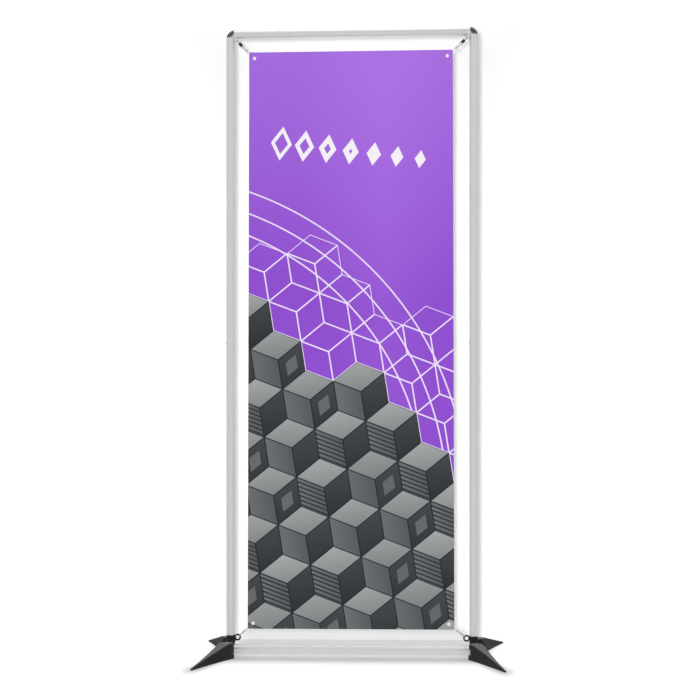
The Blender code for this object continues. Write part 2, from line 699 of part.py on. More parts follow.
def main():
    for old in list(bpy.data.objects):
        bpy.data.objects.remove(old, do_unlink=True)
    make_tubes()
    make_feet()
    make_banner()
    for side, sign in (("left", -1), ("right", 1)):
        make_joiner(side, sign * POST_X)
        make_top_corner(side, sign)
        make_bottom_corner(side, sign)
        for row in ("top", "bottom"):
            make_tensioner(row, side, sign)


main()
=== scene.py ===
"""Looks of the banner display frame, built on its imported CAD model."""

import json
import math

import bmesh
import bpy
from mathutils import Matrix, Vector

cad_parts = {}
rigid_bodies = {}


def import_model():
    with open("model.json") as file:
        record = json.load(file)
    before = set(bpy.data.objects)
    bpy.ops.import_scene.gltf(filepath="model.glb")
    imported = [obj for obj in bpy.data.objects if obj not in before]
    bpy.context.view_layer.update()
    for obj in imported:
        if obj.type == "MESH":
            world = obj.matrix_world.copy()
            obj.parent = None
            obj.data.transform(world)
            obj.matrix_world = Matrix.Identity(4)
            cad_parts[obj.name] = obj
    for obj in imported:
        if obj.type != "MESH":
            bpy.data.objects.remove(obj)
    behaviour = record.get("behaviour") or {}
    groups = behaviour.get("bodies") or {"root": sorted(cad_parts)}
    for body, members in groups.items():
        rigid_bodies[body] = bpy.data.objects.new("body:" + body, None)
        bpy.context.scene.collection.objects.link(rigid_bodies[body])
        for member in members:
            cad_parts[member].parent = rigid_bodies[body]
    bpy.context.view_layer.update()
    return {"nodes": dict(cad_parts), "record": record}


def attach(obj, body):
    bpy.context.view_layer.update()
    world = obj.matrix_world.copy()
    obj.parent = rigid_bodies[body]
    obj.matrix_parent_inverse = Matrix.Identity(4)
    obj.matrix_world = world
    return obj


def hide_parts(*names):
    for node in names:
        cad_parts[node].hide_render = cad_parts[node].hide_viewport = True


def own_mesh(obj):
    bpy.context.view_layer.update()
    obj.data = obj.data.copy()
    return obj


# Camera, fitted to the frame and the four foot tips in the photo
CAMERA_DISTANCE = 3.5
CAMERA_HEIGHT = 0.532
CAMERA_AZIMUTH = math.radians(2.3)
CAMERA_LENS = 61.74
CAMERA_SHIFT = (-0.0024, 0.1757)

# Light: a soft lamp just left of and above the camera, a low one behind and a weak one overhead
AMBIENT = 0.46
KEY_PLACE = (0.03, -3.5, 0.61)
KEY_AIM = (0.0, 0.0, 0.9)
KEY_SIZE = 0.17
KEY_POWER = 75.0
BACK_PLACE = (-0.1, 4.0, 1.0)
BACK_AIM = (0.0, 0.0, 0.2)
BACK_SIZE = 0.8
BACK_POWER = 105.0
TOP_PLACE = (0.0, -0.3, 4.2)
TOP_AIM = (0.0, 0.0, 0.0)
TOP_SIZE = 1.6
TOP_POWER = 17.0

# White floor: its colours, its own light near and far from the object, and where near turns into far. Its low
# own light near the object and its grey behind the rail are painted shade
FLOOR_HALF = 40.0
FLOOR_NEAR = (0.85, 0.85, 0.85)
FLOOR_FAR = (0.30, 0.30, 0.30)
FLOOR_PAINTED_SHADE_BEHIND = (0.79, 0.79, 0.79)
FLOOR_GLOW = (0.08, 0.82)
FLOOR_MIRRORED = (0.38, 0.68)
FLOOR_FADE = (0.09, 0.19)
FOOT_FADE = (0.03, 0.09)
RAIL_END_FADE = 4.0
FOOT_SIDE_FADE = 2.5
FOOT_START = (0.36, 0.03)
FOOT_END = (0.42, 0.27)

# Ground between the posts, which the stage shades apart, and the width of that shading's soft edge
HALF_WIDTH = 0.34
SHADE_EDGE = 0.03

# White backdrop close behind the rear feet. A low strip between the posts reflects less and glows more, so it
# is a fixed light grey of painted shade and shows the frame's shadow less
BACKDROP_BEHIND = 0.33
BACKDROP_HALF = 1.3
BACKDROP_COLOUR = (0.90, 0.90, 0.90)
BACKDROP_PAINTED_SHADE = (0.25, 0.25, 0.25)
BACKDROP_PAINTED_SHADE_GLOW = 0.54
BACKDROP_GLOW = (0.18, 0.15)
BACKDROP_GLOW_TOP = 2.2
BACKDROP_OUTER = (0.42, 1.85)
BACKDROP_OUTER_GLOW = 0.20
BACKDROP_OUTER_FADE = 0.25
BACKDROP_STEP = (0.03, 0.05)

# Banner: a sheet with slight waves, and creases that run out from its grommets
CLOTH_THICKNESS = 0.0008
CLOTH_COLUMNS = 48
CLOTH_ROWS = 130
CLOTH_WAVE = 0.0011
WAVE_SHARE = 0.7
WAVE_UP = (4.3, 1.1)
WAVE_ACROSS = (5.0, 0.6)
RIPPLE = (6.0, 9.7)
RIPPLE_SHARE = 0.4
FLAT_REACH = 0.015
EASE_REACH = 0.12
CREASE_SHARE = 0.45
CREASE_COUNT = 14.0
CREASE_TURN = 9.0
CREASE_REACH = 0.10
WEAVE_PITCH = 0.0014
GROMMET_HOLE = 0.0033
HOLE_SIDES = 24
EDGE_BAND = 0.001

# Painted dark reflection in the bend of the silver corners, crossed by painted pale glint arcs, measured
# outwards from the tubes' inner faces
CORNER_WOBBLE = 0.0016
CORNER_EDGE = 0.003
DARK_REFLECTION_START = (0.008, 0.012)
GLINT_SPACING = 0.0034
GLINT_EDGE = (0.0024, 0.0033)
GLINT_STRENGTH = 0.85

# Wound middle of the hooks, measured from their outer corner
WINDING_AWAY = 0.0212
WINDING_HALF = 0.0056

# Print, ground: purple, paler upwards and along an upright band
PURPLE_DARK = (143, 78, 207)
PURPLE_PALE = (178, 117, 236)
TONE_RANGE = (-0.14, 0.80)
TONE_START = 1.0
BAND_PLACE = 0.10
BAND_HALF = 0.26
BAND_TONE = 0.30

# Print, cubes: their width and tilt, their stepped upper edge, and how far the outlines reach above it
CUBE_WIDTH = 0.150
CUBE_TILT = math.radians(-9.0)
EDGE_HEIGHT = 0.80
EDGE_SLOPE = -0.75
LATTICE_DEPTH = 0.34

# Print, details of a cube in cube widths. The shift keeps the pattern's coordinates positive
CUBE_SHIFT = 40.0
FACE_SLOPE = 0.5774
FACE_COSINE = 0.8660
SLAT_SPACING = 0.045
SLAT_HALF = 0.016
PANE_MIDDLE = (0.25, -0.29)
PANE_HALF = (0.11, 0.13)
JOINT_HALF = 0.010
LATTICE_HALF = 0.0135

# Print, which cubes get slats, panes, dulled greys or no white outline, by each cube's chance
SLATS_BELOW = 0.42
PANES_ABOVE = 0.55
DULLED_SHARE = 0.28
OUTLINE_ABOVE = 0.18

# Print, white figures: outlines of cubes, arcs, and a tilted row of diamonds
LINE_WHITE = (246, 232, 252)
OUTLINE_STRENGTH = 0.92
ARC_CENTRE = (-0.62, 0.45)
ARC_RADII = (0.84, 0.90, 0.96)
ARC_HALF_WIDTH = 0.0022
ARC_STRENGTH = 0.9
DIAMOND_WHITE = (250, 246, 252)
ROW_HEIGHT = 1.47
ROW_TILT = math.radians(-7.0)
ROW_STEP = 0.068
ROW_COUNT = 7
DIAMOND_HALF = (0.031, 0.050)
DIAMOND_LEAST = 0.45
DIAMOND_HOLLOW = 0.62
DIAMOND_FILLED = 4.0

CORNERS = ("top_left", "top_right", "bottom_left", "bottom_right")


class Nodes:
    """Short calls for building a material's node tree."""

    def __init__(self, name):
        self.material = bpy.data.materials.new(name)
        self.material.use_nodes = True
        self.tree = self.material.node_tree
        self.shader = self.tree.nodes["Principled BSDF"]

    def add(self, kind, **settings):
        node = self.tree.nodes.new(kind)
        for key, value in settings.items():
            setattr(node, key, value)
        return node

    def put(self, socket, value):
        """Link a socket's value, or set it as a constant."""
        if isinstance(value, bpy.types.NodeSocket):
            self.tree.links.new(value, socket)
        else:
            socket.default_value = value

    def math(self, operation, a, b=0.0):
        node = self.add("ShaderNodeMath", operation=operation)
        for socket, value in zip(node.inputs, (a, b)):
            self.put(socket, value)
        return node.outputs[0]

    def vector(self, operation, a, b=(0, 0, 0)):
        node = self.add("ShaderNodeVectorMath", operation=operation)
        self.put(node.inputs[0], a)
        self.put(node.inputs[1], b)
        return node.outputs["Value"] if operation in ("DOT_PRODUCT", "LENGTH") else node.outputs[0]

    def mix(self, share, a, b):
        """Blend of two colours."""
        node = self.add("ShaderNodeMix", data_type="RGBA")
        self.put(node.inputs[0], share)
        for socket, value in zip(node.inputs[6:8], (a, b)):
            self.put(socket, value if isinstance(value, bpy.types.NodeSocket) else (*value, 1.0))
        return node.outputs[2]

    def choose(self, share, a, b):
        """Blend of two vectors."""
        node = self.add("ShaderNodeMix", data_type="VECTOR")
        self.put(node.inputs[0], share)
        self.put(node.inputs[4], a)
        self.put(node.inputs[5], b)
        return node.outputs[1]

    def place(self):
        """Position in the object's own frame, in metres."""
        return self.add("ShaderNodeTexCoord").outputs["Object"]

    def split(self, vector):
        """X, Y and Z of a vector."""
        node = self.add("ShaderNodeSeparateXYZ")
        self.put(node.inputs[0], vector)
        return tuple(node.outputs)

    def joined(self, x, y):
        """Vector of an X and a Y, with Z at 0."""
        node = self.add("ShaderNodeCombineXYZ")
        for socket, value in zip(node.inputs, (x, y)):
            self.put(socket, value)
        return node.outputs[0]

    def noise(self, vector, scale, detail, stretch=(1, 1, 1)):
        scaled = self.vector("MULTIPLY", vector, stretch)
        node = self.add("ShaderNodeTexNoise")
        self.put(node.inputs["Vector"], scaled)
        self.put(node.inputs["Scale"], scale)
        self.put(node.inputs["Detail"], detail)
        return node.outputs["Fac"]

    def ramp(self, value, low, high, start=0.0, end=1.0):
        """Straight change from low to high as value goes from start to end."""
        node = self.add("ShaderNodeMapRange")
        for socket, number in zip(node.inputs, (value, start, end, low, high)):
            self.put(socket, number)
        return node.outputs[0]

    def under(self, value, limit):
        """1 where value is below limit, else 0."""
        return self.math("LESS_THAN", value, limit)

    def bump(self, height, strength, distance):
        node = self.add("ShaderNodeBump")
        self.put(node.inputs["Strength"], strength)
        self.put(node.inputs["Distance"], distance)
        self.put(node.inputs["Height"], height)
        self.put(self.shader.inputs["Normal"], node.outputs[0])

    def surface(self, **inputs):
        """Set the shader's sockets, named in lower case with underscores."""
        for name, value in inputs.items():
            socket = self.shader.inputs[name.replace("_", " ").title()]
            if socket.type == "RGBA" and not isinstance(value, bpy.types.NodeSocket):
                value = (*value, 1.0)
            self.put(socket, value)


def linear(red, green, blue):
    """Shader colour of an 8-bit display colour."""
    shares = [value / 255 for value in (red, green, blue)]
    return tuple(s / 12.92 if s <= 0.04045 else ((s + 0.055) / 1.055) ** 2.4 for s in shares)


def aluminium(name, along):
    """Satin anodised tube, with faint drawing lines along one axis."""
    m = Nodes(name)
    place = m.place()
    stretch = [1.0, 1.0, 1.0]
    stretch[along] = 0.006
    lines = m.noise(place, 900.0, 3.0, stretch)
    bands = m.noise(place, 240.0, 1.0, stretch)
    cloud = m.noise(place, 6.0, 2.0)
    faint = m.math("ADD", m.ramp(lines, -0.2, 0.2), m.ramp(cloud, -0.2, 0.2))
    tone = m.math("ADD", m.ramp(bands, -0.7, 0.7), faint)
    colour = m.mix(m.math("ADD", tone, 0.5), (0.600, 0.602, 0.606), (0.680, 0.681, 0.684))
    m.surface(base_color=colour, metallic=0.85, roughness=m.ramp(lines, 0.40, 0.52))
    m.bump(lines, 0.06, 0.0002)
    return m.material


def plastic(name, dark, light, roughness, shine=0.5, upper=None):
    """Moulded plastic with a fine grain and faint flow clouds; if upper is given, upward faces are painted
    paler in its colours as a painted sheen of light from above.
    """
    m = Nodes(name)
    place = m.place()
    fine = m.noise(place, 1400.0, 2.0)
    cloud = m.noise(place, 25.0, 3.0)
    scuffs = m.noise(place, 180.0, 4.0, (1.0, 1.0, 0.25))
    worn = m.ramp(scuffs, 0.0, 0.5, 0.62, 0.80)
    colour = m.mix(m.math("ADD", m.math("MULTIPLY", cloud, 0.6), worn), dark, light)
    if upper:
        # Painted sheen: faces that point up are made paler in the upper colours, standing in for light from
        # above. The speckle on the sides is random.
        rise = m.split(m.add("ShaderNodeNewGeometry").outputs["True Normal"])[2]
        speckle = m.ramp(m.noise(place, 420.0, 2.0), 0.0, 0.15, 0.48, 0.66)
        side = m.mix(speckle, colour, upper[0])
        colour = m.mix(m.ramp(rise, 0.0, 1.0, 0.55, 0.90), side, m.mix(scuffs, *upper))
    m.surface(base_color=colour, roughness=m.ramp(fine, roughness - 0.06, roughness + 0.10))
    m.put(m.shader.inputs["Specular IOR Level"], shine)
    m.bump(fine, 0.25, 0.0002)
    return m.material


def silver_corner(name, inner_x, inner_z):
    """Glossy silver moulding whose bend, outside the tubes' inner faces, is painted nearly black as a dark
    reflection, crossed by painted pale glint arcs.
    """
    m = Nodes(name)
    place = m.place()
    x, _, z = m.split(place)
    fine = m.noise(place, 900.0, 2.0)
    wobble = m.ramp(m.noise(place, 260.0, 2.0), -CORNER_WOBBLE, CORNER_WOBBLE)
    past_x = m.math("SUBTRACT", m.math("ABSOLUTE", x), inner_x)
    past_z = m.math("SUBTRACT", z, inner_z)
    inside = m.ramp(m.math("MINIMUM", past_x, past_z), 0.0, 1.0, 0.0, CORNER_EDGE)
    outward = m.math("ADD", m.math("ADD", past_x, past_z), wobble)
    # Painted reflection: the bend is made near-black and non-metallic, standing in for dark surroundings
    # mirrored there; the pale arcs are painted glints.
    painted_dark_reflection = m.math("MULTIPLY", inside, m.ramp(outward, 0.0, 1.0, *DARK_REFLECTION_START))
    reach = m.math("ADD", m.vector("LENGTH", m.joined(past_x, past_z)), wobble)
    painted_glint = m.ramp(m.math("PINGPONG", reach, GLINT_SPACING), 0.0, GLINT_STRENGTH, *GLINT_EDGE)
    silver = m.mix(fine, (0.56, 0.56, 0.57), (0.68, 0.68, 0.69))
    dark = m.mix(painted_glint, (0.012, 0.012, 0.013), silver)
    m.surface(base_color=m.mix(painted_dark_reflection, silver, dark), metallic=m.ramp(painted_dark_reflection, 0.85, 0.0),
              roughness=m.ramp(fine, 0.26, 0.36))
    m.put(m.shader.inputs["Specular IOR Level"], 0.10)
    m.bump(fine, 0.12, 0.0002)
    return m.material


def metal(name, dark, light, roughness):
    """Plated or drawn steel with small variations."""
    m = Nodes(name)
    place = m.place()
    cloud = m.noise(place, 160.0, 3.0)
    fine = m.noise(place, 2500.0, 2.0)
    m.surface(base_color=m.mix(m.ramp(cloud, 0.0, 1.0, 0.3, 0.7), dark, light), metallic=1.0,
              roughness=m.ramp(fine, roughness - 0.05, roughness + 0.08))
    m.bump(fine, 0.10, 0.0001)
    return m.material


def hook_steel(name, corner):
    """Plated hook whose wound middle is dark bronze. Corner is the hooks' outer corner in X and Z."""
    m = Nodes(name)
    place = m.place()
    x, _, z = m.split(place)
    beside = m.math("SUBTRACT", m.math("ABSOLUTE", x), corner[0])
    away = m.vector("LENGTH", m.joined(beside, m.math("SUBTRACT", z, corner[1])))
    wound = m.under(m.math("ABSOLUTE", m.math("SUBTRACT", away, WINDING_AWAY)), WINDING_HALF)
    fine = m.noise(place, 2500.0, 2.0)
    plated = m.mix(fine, (0.46, 0.44, 0.43), (0.62, 0.60, 0.58))
    bronze = m.mix(fine, (0.050, 0.038, 0.036), (0.130, 0.095, 0.090))
    m.surface(base_color=m.mix(wound, plated, bronze), metallic=1.0, roughness=m.ramp(fine, 0.28, 0.40))
    m.bump(fine, 0.10, 0.0001)
    return m.material


def cloth_relief(m, place):
    """Fine scrim under the coating."""
    x, _, z = m.split(place)
    weave_x = m.math("SINE", m.math("MULTIPLY", x, 2 * math.pi / WEAVE_PITCH))
    weave_z = m.math("SINE", m.math("MULTIPLY", z, 2 * math.pi / WEAVE_PITCH))
    m.bump(m.math("MULTIPLY", weave_x, weave_z), 0.12, 0.0001)


def cube_cells(m, p):
    """Offset from the middle of the nearest cube, and that middle, in cube widths."""
    period = (1.0, math.sqrt(3.0), 1.0)
    half = (0.5, math.sqrt(3.0) / 2, 0.0)
    first = m.vector("SUBTRACT", m.vector("MODULO", p, period), half)
    second = m.vector("SUBTRACT", m.vector("MODULO", m.vector("SUBTRACT", p, half), period), half)
    nearer = m.math("LESS_THAN", m.vector("DOT_PRODUCT", second, second),
                    m.vector("DOT_PRODUCT", first, first))
    offset = m.choose(nearer, first, second)
    return offset, m.vector("SUBTRACT", p, offset)


def cube_pattern(m, x, z):
    """Where a place lies in its cube, the cube's chance, and its height above the stepped edge."""
    cosine = math.cos(CUBE_TILT) / CUBE_WIDTH
    sine = math.sin(CUBE_TILT) / CUBE_WIDTH
    across = m.math("ADD", m.math("MULTIPLY", x, cosine), m.math("MULTIPLY", z, -sine))
    upward = m.math("ADD", m.math("MULTIPLY", x, sine), m.math("MULTIPLY", z, cosine))
    shifted = m.joined(m.math("ADD", across, CUBE_SHIFT), m.math("ADD", upward, CUBE_SHIFT))
    offset, middle = cube_cells(m, shifted)
    ox, oy, _ = m.split(offset)
    mx, my, _ = m.split(middle)

    rounded = m.vector("SNAP", m.vector("ADD", middle, (0.1, 0.1, 0)), (0.25, 0.25, 1.0))
    chance = m.add("ShaderNodeTexWhiteNoise", noise_dimensions="2D")
    m.put(chance.inputs["Vector"], m.vector("ADD", rounded, (0.5, 0.5, 0)))

    mx = m.math("SUBTRACT", mx, CUBE_SHIFT)
    my = m.math("SUBTRACT", my, CUBE_SHIFT)
    back_cosine = cosine * CUBE_WIDTH ** 2
    back_sine = sine * CUBE_WIDTH ** 2
    middle_x = m.math("ADD", m.math("MULTIPLY", mx, back_cosine), m.math("MULTIPLY", my, back_sine))
    middle_z = m.math("ADD", m.math("MULTIPLY", mx, -back_sine), m.math("MULTIPLY", my, back_cosine))
    edge = m.math("ADD", m.math("MULTIPLY", middle_x, EDGE_SLOPE), EDGE_HEIGHT)

    angle = m.math("ARCTAN2", oy, ox)
    turned = m.math("MODULO", m.math("ADD", angle, math.pi * 2.5), math.pi * 2)
    return {"offset": offset, "x": ox, "y": oy, "turned": turned, "chance": chance.outputs["Value"],
            "above": m.math("SUBTRACT", middle_z, edge)}


def joint_distance(m, cube):
    """Distance from the nearest edge between a cube's faces or around them, in cube widths."""
    reach = m.vector("LENGTH", cube["offset"])
    turn = m.math("SINE", m.math("PINGPONG", cube["turned"], math.pi / 3))
    half_x = m.math("MULTIPLY", cube["x"], 0.5)
    part_y = m.math("MULTIPLY", cube["y"], FACE_COSINE)
    slope_a = m.math("ABSOLUTE", m.math("ADD", half_x, part_y))
    slope_b = m.math("ABSOLUTE", m.math("SUBTRACT", half_x, part_y))
    furthest = m.math("MAXIMUM", m.math("ABSOLUTE", cube["x"]), m.math("MAXIMUM", slope_a, slope_b))
    return m.math("MINIMUM", m.math("SUBTRACT", 0.5, furthest), m.math("MULTIPLY", reach, turn))


def cube_greys(m, cube):
    """A grey for each of a cube's three faces, slats on some left faces and panes on some right ones."""
    ox, oy, chance = cube["x"], cube["y"], cube["chance"]
    face = m.math("FLOOR", m.math("DIVIDE", cube["turned"], math.pi * 2 / 3))
    right_face = m.under(face, 0.5)
    left_face = m.math("GREATER_THAN", face, 1.5)
    top_grey = m.mix(m.ramp(oy, 0.0, 1.0, 0.0, 0.55), linear(134, 138, 139), linear(168, 171, 171))
    left_grey = m.mix(m.ramp(ox, 0.0, 1.0, -0.5, 0.0), linear(110, 114, 115), linear(84, 88, 91))
    right_grey = m.mix(m.ramp(oy, 0.0, 1.0, -0.5, 0.3), linear(36, 40, 43), linear(62, 66, 69))
    greys = m.mix(right_face, m.mix(left_face, top_grey, left_grey), right_grey)

    rise = m.math("MULTIPLY", ox, FACE_SLOPE)
    slats = m.math("PINGPONG", m.math("ADD", rise, oy), SLAT_SPACING)
    slatted = m.math("MULTIPLY", m.under(slats, SLAT_HALF), m.under(chance, SLATS_BELOW))
    greys = m.mix(m.math("MULTIPLY", slatted, left_face), greys, linear(34, 38, 41))

    beside = m.math("ABSOLUTE", m.math("SUBTRACT", ox, PANE_MIDDLE[0]))
    over = m.math("ABSOLUTE", m.math("SUBTRACT", m.math("SUBTRACT", oy, rise), PANE_MIDDLE[1]))
    pane = m.math("MULTIPLY", m.under(beside, PANE_HALF[0]), m.under(over, PANE_HALF[1]))
    pane = m.math("MULTIPLY", pane, m.math("GREATER_THAN", chance, PANES_ABOVE))
    greys = m.mix(m.math("MULTIPLY", pane, right_face), greys, linear(104, 108, 110))
    return m.mix(m.ramp(chance, 0.0, DULLED_SHARE), greys, linear(72, 76, 78))


def print_ground(m, x, z, top):
    """Purple that grows paler upwards and along an upright band."""
    from_band = m.math("ABSOLUTE", m.math("SUBTRACT", x, BAND_PLACE))
    band = m.ramp(from_band, BAND_TONE, 0.0, 0.0, BAND_HALF)
    tone = m.math("ADD", m.ramp(z, *TONE_RANGE, TONE_START, top), band)
    return m.mix(tone, linear(*PURPLE_DARK), linear(*PURPLE_PALE))


def add_outlines(m, colour, cube, joint):
    """White outlines of cubes just above the stepped edge."""
    lines = m.math("MULTIPLY", m.under(joint, LATTICE_HALF), m.under(cube["above"], LATTICE_DEPTH))
    lines = m.math("MULTIPLY", lines, m.math("GREATER_THAN", cube["chance"], OUTLINE_ABOVE))
    return m.mix(m.math("MULTIPLY", lines, OUTLINE_STRENGTH), colour, linear(*LINE_WHITE))


def add_arcs(m, colour, x, z):
    """White arcs around one centre, which fall to the right."""
    across = m.math("SUBTRACT", x, ARC_CENTRE[0])
    far = m.vector("LENGTH", m.joined(across, m.math("SUBTRACT", z, ARC_CENTRE[1])))
    for radius in ARC_RADII:
        line = m.under(m.math("ABSOLUTE", m.math("SUBTRACT", far, radius)), ARC_HALF_WIDTH)
        colour = m.mix(m.math("MULTIPLY", line, ARC_STRENGTH), colour, linear(*LINE_WHITE))
    return colour


def add_diamonds(m, colour, x, z):
    """A tilted row of white diamonds, smaller to the right and hollow on the left."""
    cosine = math.cos(ROW_TILT)
    sine = math.sin(ROW_TILT)
    row_half = ROW_COUNT * ROW_STEP / 2
    raised = m.math("SUBTRACT", z, ROW_HEIGHT)
    along = m.math("ADD", m.math("MULTIPLY", x, cosine), m.math("MULTIPLY", raised, sine))
    off = m.math("SUBTRACT", m.math("MULTIPLY", raised, cosine), m.math("MULTIPLY", x, sine))
    from_start = m.math("ADD", along, row_half)
    index = m.math("FLOOR", m.math("DIVIDE", from_start, ROW_STEP))
    middle = m.math("MULTIPLY", m.math("ADD", index, 0.5), ROW_STEP)
    local = m.math("SUBTRACT", from_start, middle)
    spread = m.math("ADD", m.math("DIVIDE", m.math("ABSOLUTE", local), DIAMOND_HALF[0]),
                    m.math("DIVIDE", m.math("ABSOLUTE", off), DIAMOND_HALF[1]))
    diamonds = m.under(spread, m.ramp(index, 1.0, DIAMOND_LEAST, 0.0, ROW_COUNT))
    diamonds = m.math("MULTIPLY", diamonds, m.under(m.math("ABSOLUTE", along), row_half))
    solid = m.math("GREATER_THAN", spread, m.ramp(index, DIAMOND_HOLLOW, 0.0, 0.0, DIAMOND_FILLED))
    return m.mix(m.math("MULTIPLY", diamonds, solid), colour, linear(*DIAMOND_WHITE))


def print_front(shape):
    """The generic print on the front: grey cubes below a stepped edge, purple with white figures above."""
    m = Nodes("banner_front")
    place = m.place()
    x, _, z = m.split(place)
    x = m.math("SUBTRACT", x, shape["centre"])
    cube = cube_pattern(m, x, z)
    joint = joint_distance(m, cube)
    colour = print_ground(m, x, z, shape["top"])
    colour = add_outlines(m, colour, cube, joint)
    colour = add_arcs(m, colour, x, z)
    colour = add_diamonds(m, colour, x, z)
    greys = m.mix(m.under(joint, JOINT_HALF), cube_greys(m, cube), linear(24, 27, 30))
    colour = m.mix(m.under(cube["above"], 0.0), colour, greys)
    m.surface(base_color=colour, roughness=m.ramp(m.noise(place, 40.0, 3.0), 0.42, 0.52))
    m.put(m.shader.inputs["Specular IOR Level"], 0.2)
    cloth_relief(m, place)
    return m.material


def cloth_back():
    """Bare white coating on the back and the cut edges."""
    m = Nodes("banner_back")
    place = m.place()
    cloud = m.noise(place, 12.0, 3.0)
    colour = m.mix(cloud, (0.66, 0.66, 0.66), (0.74, 0.74, 0.75))
    m.surface(base_color=colour, roughness=m.ramp(cloud, 0.45, 0.58))
    cloth_relief(m, place)
    return m.material


def banner_shape(nodes):
    """The CAD banner's edges and its grommets' centres, read from the frame."""
    points = [vertex.co for vertex in nodes["banner"].data.vertices]
    top = max(point.z for point in points)
    bottom = min(point.z for point in points)
    upper = [point.x for point in points if point.z > top - EDGE_BAND]
    lower = [point.x for point in points if point.z < bottom + EDGE_BAND]
    grommets = []
    for corner in CORNERS:
        ring = [vertex.co for vertex in nodes["grommet_" + corner].data.vertices]
        middle_x = sum(point.x for point in ring) / len(ring)
        middle_z = sum(point.z for point in ring) / len(ring)
        grommets.append((middle_x, middle_z))
    return {"top": top, "bottom": bottom, "centre": (max(upper) + min(upper)) / 2,
            "top_half": (max(upper) - min(upper)) / 2, "bottom_half": (max(lower) - min(lower)) / 2,
            "grommets": grommets}


def sheet_offset(x, z, grommets):
    """How far the taut cloth stands from its plane; none at the grommets."""
    near = min(math.hypot(x - gx, z - gz) for gx, gz in grommets)
    ease = min(max((near - FLAT_REACH) / EASE_REACH, 0.0), 1.0)
    ease = ease * ease * (3 - 2 * ease)
    creases = 0.0
    for gx, gz in grommets:
        dx, dz = x - gx, z - gz
        reach = math.hypot(dx, dz)
        heading = math.atan2(dz, dx)
        crease = CREASE_SHARE * math.sin(heading * CREASE_COUNT + gx * CREASE_TURN)
        creases += crease * math.exp(-reach / CREASE_REACH)
    wave = math.sin(z * WAVE_UP[0] + WAVE_UP[1]) * math.cos(x * WAVE_ACROSS[0] + WAVE_ACROSS[1])
    wave += RIPPLE_SHARE * math.sin(z * RIPPLE[1] + x * RIPPLE[0])
    return CLOTH_WAVE * ease * (WAVE_SHARE * wave + creases)


def cloth_side(bm, shape, side):
    """Rows of vertices on one side of the cloth, from its bottom edge up."""
    rows = []
    for i in range(CLOTH_ROWS + 1):
        share = i / CLOTH_ROWS
        z = shape["bottom"] + (shape["top"] - shape["bottom"]) * share
        half = shape["bottom_half"] + (shape["top_half"] - shape["bottom_half"]) * share
        row = []
        for j in range(CLOTH_COLUMNS + 1):
            x = shape["centre"] + half * (2 * j / CLOTH_COLUMNS - 1)
            off = sheet_offset(x, z, shape["grommets"])
            row.append(bm.verts.new((x, off + side * CLOTH_THICKNESS / 2, z)))
        rows.append(row)
    return rows


def punch_hole(cloth, x, z):
    """Cut one grommet hole through the cloth."""
    mesh = bpy.data.meshes.new("punch")
    bm = bmesh.new()
    bmesh.ops.create_cone(bm, cap_ends=True, segments=HOLE_SIDES, radius1=GROMMET_HOLE, radius2=GROMMET_HOLE,
                          depth=0.01)
    bmesh.ops.rotate(bm, verts=bm.verts, matrix=Matrix.Rotation(math.pi / 2, 3, "X"))
    bmesh.ops.translate(bm, verts=bm.verts, vec=(x, 0, z))
    bm.to_mesh(mesh)
    bm.free()
    cutter = bpy.data.objects.new("punch", mesh)
    bpy.context.scene.collection.objects.link(cutter)
    step = cloth.modifiers.new("hole", "BOOLEAN")
    step.operation = "DIFFERENCE"
    step.solver = "EXACT"
    step.object = cutter
    bpy.context.view_layer.update()
    done = cloth.evaluated_get(bpy.context.evaluated_depsgraph_get())
    result = bpy.data.meshes.new_from_object(done)
    cloth.modifiers.clear()
    cloth.data = result
    bpy.data.objects.remove(cutter, do_unlink=True)


def make_cloth(shape, front, back):
    """The banner as one taut sheet with a thickness and four grommet holes."""
    bm = bmesh.new()
    sides = [cloth_side(bm, shape, side) for side in (-1, 1)]
    for slot, rows in enumerate(sides):
        for lower, upper in zip(rows, rows[1:]):
            for j in range(CLOTH_COLUMNS):
                face = bm.faces.new((lower[j], lower[j + 1], upper[j + 1], upper[j]))
                face.material_index = slot
    partner = {}
    for front_row, back_row in zip(*sides):
        partner.update(zip(front_row, back_row))
    for edge in [e for e in bm.edges if len(e.link_faces) == 1]:
        a, b = edge.verts
        if a in partner and b in partner:
            face = bm.faces.new((a, b, partner[b], partner[a]))
            face.material_index = 1
    bmesh.ops.recalc_face_normals(bm, faces=bm.faces)
    mesh = bpy.data.meshes.new("banner_cloth")
    bm.to_mesh(mesh)
    bm.free()
    mesh.materials.append(front)
    mesh.materials.append(back)
    mesh.shade_smooth()
    mesh.set_sharp_from_angle(angle=math.radians(40))
    cloth = bpy.data.objects.new("banner_cloth", mesh)
    bpy.context.scene.collection.objects.link(cloth)
    for x, z in shape["grommets"]:
        punch_hole(cloth, x, z)
    return cloth


